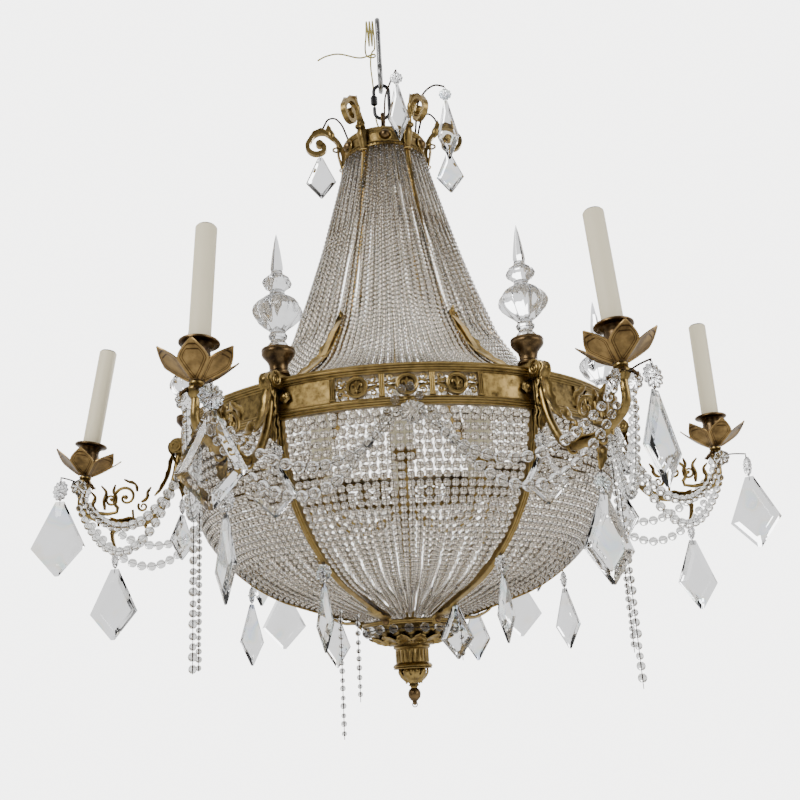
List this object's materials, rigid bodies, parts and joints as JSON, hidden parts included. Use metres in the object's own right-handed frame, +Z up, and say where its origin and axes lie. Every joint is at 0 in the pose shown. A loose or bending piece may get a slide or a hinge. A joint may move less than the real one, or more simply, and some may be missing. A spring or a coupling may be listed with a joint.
{
  "type": "crystal chandelier",
  "caption": "Empire-style chandelier: a pierced gilt gallery hung on bead strands over a bead basket, with scroll arms, candle lights, swags and swinging crystal drops, on a snap hook and link.",
  "frame": {"origin": "where the snap hook's upper bend bears on the bar that carries the chandelier", "axes": "+Z up along the hanging line; the front faces -Y; X to the right"},
  "size_m": [1.0154, 0.8973, 1.103],
  "materials": {
    "gilt_brass": "polished, lacquered, darkened in its grooves",
    "dark_bronze": "dark patinated bronze, satin",
    "cut_crystal": "clear cut crystal, polished",
    "bead_crystal": "clear beads on wire, polished",
    "smoky_crystal": "slightly smoky clear beads on wire",
    "card": "cream card, matt",
    "holder_black": "black thermoplastic, matt",
    "hook_steel": "zinc-plated steel, worn",
    "black_steel": "blackened steel",
    "black_wire": "blackened wire",
    "twin_flex": "yellowish twin flex, soft"
  },
  "bodies": {
    "hook": {"snap_hook": "hook_steel", "supply_wire": "twin_flex"},
    "gate": {"hook_gate": "hook_steel"},
    "link": {"quick_link": "black_steel"},
    "nut": {"link_nut": "black_steel"},
    "frame": {"gallery_ring": "gilt_brass", "gallery_posts": "gilt_brass", "finial_vases": "gilt_brass", "glass_finials": "cut_crystal", "candle_arms": "gilt_brass", "bobeches": "gilt_brass", "arm_knops": "gilt_brass", "candle_cups": "dark_bronze", "candle_sleeves": "card", "lamp_holders": "holder_black", "central_stem": "gilt_brass", "inner_arms": "gilt_brass", "crown_ring": "gilt_brass", "crown_scrolls": "gilt_brass", "top_spindle": "dark_bronze", "tent_rods": "gilt_brass", "lower_ribs": "gilt_brass", "tent_strands": "bead_crystal", "basket_strands": "smoky_crystal", "gallery_beads": "bead_crystal", "bottom_bowl": "gilt_brass", "bowl_beads": "bead_crystal", "bowl_pendant": "dark_bronze", "swags": "bead_crystal", "crown_wires": "black_wire", "supply_wire_lead": "twin_flex"},
    "crown_drop_front": {"crown_drop_front": "cut_crystal"},
    "crown_drop_right": {"crown_drop_right": "cut_crystal"},
    "crown_drop_under_left": {"crown_drop_under_left": "cut_crystal"},
    "crown_drop_under_right": {"crown_drop_under_right": "cut_crystal"},
    "hook_drop_back_left": {"hook_drop_back_left": "cut_crystal"},
    "hook_drop_back_right": {"hook_drop_back_right": "cut_crystal"},
    "hook_drop_front_left": {"hook_drop_front_left": "cut_crystal"},
    "hook_drop_front_right": {"hook_drop_front_right": "cut_crystal"},
    "hook_drop_left": {"hook_drop_left": "cut_crystal"},
    "hook_drop_right": {"hook_drop_right": "cut_crystal"},
    "low_rib_drop": {"low_rib_drop": "cut_crystal"},
    "post_drop_back_left": {"post_drop_back_left": "cut_crystal"},
    "post_drop_back_right": {"post_drop_back_right": "cut_crystal"},
    "post_drop_front_left": {"post_drop_front_left": "cut_crystal"},
    "post_drop_front_right": {"post_drop_front_right": "cut_crystal"},
    "post_drop_left": {"post_drop_left": "cut_crystal"},
    "post_drop_right": {"post_drop_right": "cut_crystal"},
    "rib_drop_back_left": {"rib_drop_back_left": "cut_crystal"},
    "rib_drop_back_right": {"rib_drop_back_right": "cut_crystal"},
    "rib_drop_front_left": {"rib_drop_front_left": "cut_crystal"},
    "rib_drop_front_right": {"rib_drop_front_right": "cut_crystal"},
    "rib_drop_left": {"rib_drop_left": "cut_crystal"},
    "rib_drop_right": {"rib_drop_right": "cut_crystal"},
    "tip_drop_back_left": {"tip_drop_back_left": "cut_crystal"},
    "tip_drop_back_right": {"tip_drop_back_right": "cut_crystal"},
    "tip_drop_front_left": {"tip_drop_front_left": "cut_crystal"},
    "tip_drop_front_right": {"tip_drop_front_right": "cut_crystal"},
    "tip_drop_left": {"tip_drop_left": "cut_crystal"},
    "tip_drop_right": {"tip_drop_right": "cut_crystal"}
  },
  "joints": [
    {"name": "gate_hinge", "type": "hinge", "parent": "hook", "child": "gate", "pos_m": [0, -0.02, -0.096], "axis": [-1, 0, 0], "range_deg": [0, 25], "stiffness_Nm_per_rad": 0.05, "springref_deg": -8.59},
    {"name": "link_swing", "type": "hinge", "parent": "hook", "child": "link", "pos_m": [0, 0, -0.121], "axis": [0, 1, 0], "range_deg": [-15, 15], "deforming": ["supply_wire_lead"]},
    {"name": "frame_swing", "type": "hinge", "parent": "link", "child": "frame", "pos_m": [0, 0, -0.17445], "axis": [1, 0, 0], "range_deg": [-15, 15], "deforming": ["supply_wire_lead"]},
    {"name": "nut_slide", "type": "slide", "parent": "link", "child": "nut", "axis": [0, 0, -1], "range_m": [0, 0.01]},
    {"name": "crown_drop_front_swing", "type": "hinge", "parent": "frame", "child": "crown_drop_front", "pos_m": [0.024, -0.076, -0.1445], "axis": [-1, 0, 0], "range_deg": [-3, 20]},
    {"name": "crown_drop_right_swing", "type": "hinge", "parent": "frame", "child": "crown_drop_right", "pos_m": [0.099, -0.027, -0.1445], "axis": [-1, 0, 0], "range_deg": [-5, 20]},
    {"name": "crown_drop_under_left_swing", "type": "hinge", "parent": "frame", "child": "crown_drop_under_left", "pos_m": [-0.09943, -0.00365, -0.23915], "axis": [-1, 0, 0], "range_deg": [-8, 15]},
    {"name": "crown_drop_under_right_swing", "type": "hinge", "parent": "frame", "child": "crown_drop_under_right", "pos_m": [0.09943, 0.00365, -0.23915], "axis": [-1, 0, 0], "range_deg": [-8, 10]},
    {"name": "hook_drop_back_left_swing", "type": "hinge", "parent": "frame", "child": "hook_drop_back_left", "pos_m": [-0.21043, 0.33546, -0.8349], "axis": [0.8471, 0.5314, 0], "range_deg": [-8, 20]},
    {"name": "hook_drop_back_right_swing", "type": "hinge", "parent": "frame", "child": "hook_drop_back_right", "pos_m": [0.1853, 0.34997, -0.8349], "axis": [0.8838, -0.4679, 0], "range_deg": [-8, 20]},
    {"name": "hook_drop_front_left_swing", "type": "hinge", "parent": "frame", "child": "hook_drop_front_left", "pos_m": [-0.1853, -0.34997, -0.8349], "axis": [-0.8838, 0.4679, 0], "range_deg": [-8, 20]},
    {"name": "hook_drop_front_right_swing", "type": "hinge", "parent": "frame", "child": "hook_drop_front_right", "pos_m": [0.21043, -0.33546, -0.8349], "axis": [-0.8471, -0.5314, 0], "range_deg": [-8, 20]},
    {"name": "hook_drop_left_swing", "type": "hinge", "parent": "frame", "child": "hook_drop_left", "pos_m": [-0.39573, -0.01451, -0.8349], "axis": [-0.0366, 0.9993, 0], "range_deg": [-8, 20]},
    {"name": "hook_drop_right_swing", "type": "hinge", "parent": "frame", "child": "hook_drop_right", "pos_m": [0.39573, 0.01451, -0.8349], "axis": [0.0366, -0.9993, 0], "range_deg": [-8, 20]},
    {"name": "low_rib_drop_swing", "type": "hinge", "parent": "frame", "child": "low_rib_drop", "pos_m": [0.05742, -0.09154, -0.93992], "axis": [-1, 0, 0], "range_deg": [-5, 25]},
    {"name": "post_drop_back_left_swing", "type": "hinge", "parent": "frame", "child": "post_drop_back_left", "pos_m": [-0.16266, 0.2593, -0.7669], "axis": [0.8471, 0.5314, 0], "range_deg": [-4, 25]},
    {"name": "post_drop_back_right_swing", "type": "hinge", "parent": "frame", "child": "post_drop_back_right", "pos_m": [0.14323, 0.27052, -0.7669], "axis": [0.8838, -0.4679, 0], "range_deg": [-4, 25]},
    {"name": "post_drop_front_left_swing", "type": "hinge", "parent": "frame", "child": "post_drop_front_left", "pos_m": [-0.14323, -0.27052, -0.7669], "axis": [-0.8838, 0.4679, 0], "range_deg": [-4, 25]},
    {"name": "post_drop_front_right_swing", "type": "hinge", "parent": "frame", "child": "post_drop_front_right", "pos_m": [0.16266, -0.2593, -0.7669], "axis": [-0.8471, -0.5314, 0], "range_deg": [-4, 25]},
    {"name": "post_drop_left_swing", "type": "hinge", "parent": "frame", "child": "post_drop_left", "pos_m": [-0.30589, -0.01122, -0.7669], "axis": [-0.0366, 0.9993, 0], "range_deg": [-4, 25]},
    {"name": "post_drop_right_swing", "type": "hinge", "parent": "frame", "child": "post_drop_right", "pos_m": [0.30589, 0.01122, -0.7669], "axis": [0.0366, -0.9993, 0], "range_deg": [-4, 25]},
    {"name": "rib_drop_back_left_swing", "type": "hinge", "parent": "frame", "child": "rib_drop_back_left", "pos_m": [-0.11253, 0.17938, -0.89345], "axis": [0.8471, 0.5314, 0], "range_deg": [-8, 25]},
    {"name": "rib_drop_back_right_swing", "type": "hinge", "parent": "frame", "child": "rib_drop_back_right", "pos_m": [0.09909, 0.18714, -0.89345], "axis": [0.8838, -0.4679, 0], "range_deg": [-8, 25]},
    {"name": "rib_drop_front_left_swing", "type": "hinge", "parent": "frame", "child": "rib_drop_front_left", "pos_m": [-0.09909, -0.18714, -0.89345], "axis": [-0.8838, 0.4679, 0], "range_deg": [-8, 25]},
    {"name": "rib_drop_front_right_swing", "type": "hinge", "parent": "frame", "child": "rib_drop_front_right", "pos_m": [0.11253, -0.17938, -0.89345], "axis": [-0.8471, -0.5314, 0], "range_deg": [-8, 25]},
    {"name": "rib_drop_left_swing", "type": "hinge", "parent": "frame", "child": "rib_drop_left", "pos_m": [-0.21161, -0.00776, -0.89345], "axis": [-0.0366, 0.9993, 0], "range_deg": [-8, 25]},
    {"name": "rib_drop_right_swing", "type": "hinge", "parent": "frame", "child": "rib_drop_right", "pos_m": [0.21161, 0.00776, -0.89345], "axis": [0.0366, -0.9993, 0], "range_deg": [-8, 25]},
    {"name": "tip_drop_back_left_swing", "type": "hinge", "parent": "frame", "child": "tip_drop_back_left", "pos_m": [-0.2592, 0.4132, -0.74364], "axis": [0.8471, 0.5314, 0], "range_deg": [-8, 25]},
    {"name": "tip_drop_back_right_swing", "type": "hinge", "parent": "frame", "child": "tip_drop_back_right", "pos_m": [0.22824, 0.43107, -0.74364], "axis": [0.8838, -0.4679, 0], "range_deg": [-8, 25]},
    {"name": "tip_drop_front_left_swing", "type": "hinge", "parent": "frame", "child": "tip_drop_front_left", "pos_m": [-0.18554, -0.42816, -0.74347], "axis": [-0.8471, -0.5314, 0], "range_deg": [-8, 25]},
    {"name": "tip_drop_front_right_swing", "type": "hinge", "parent": "frame", "child": "tip_drop_front_right", "pos_m": [0.25851, -0.41211, -0.74218], "axis": [-0.8471, -0.5314, 0], "range_deg": [-8, 25]},
    {"name": "tip_drop_left_swing", "type": "hinge", "parent": "frame", "child": "tip_drop_left", "pos_m": [-0.4613, -0.05331, -0.74223], "axis": [-0.8838, 0.4679, 0], "range_deg": [-8, 25]},
    {"name": "tip_drop_right_swing", "type": "hinge", "parent": "frame", "child": "tip_drop_right", "pos_m": [0.48867, 0.01792, -0.7451], "axis": [0.0366, -0.9993, 0], "range_deg": [-8, 25]}
  ]
}
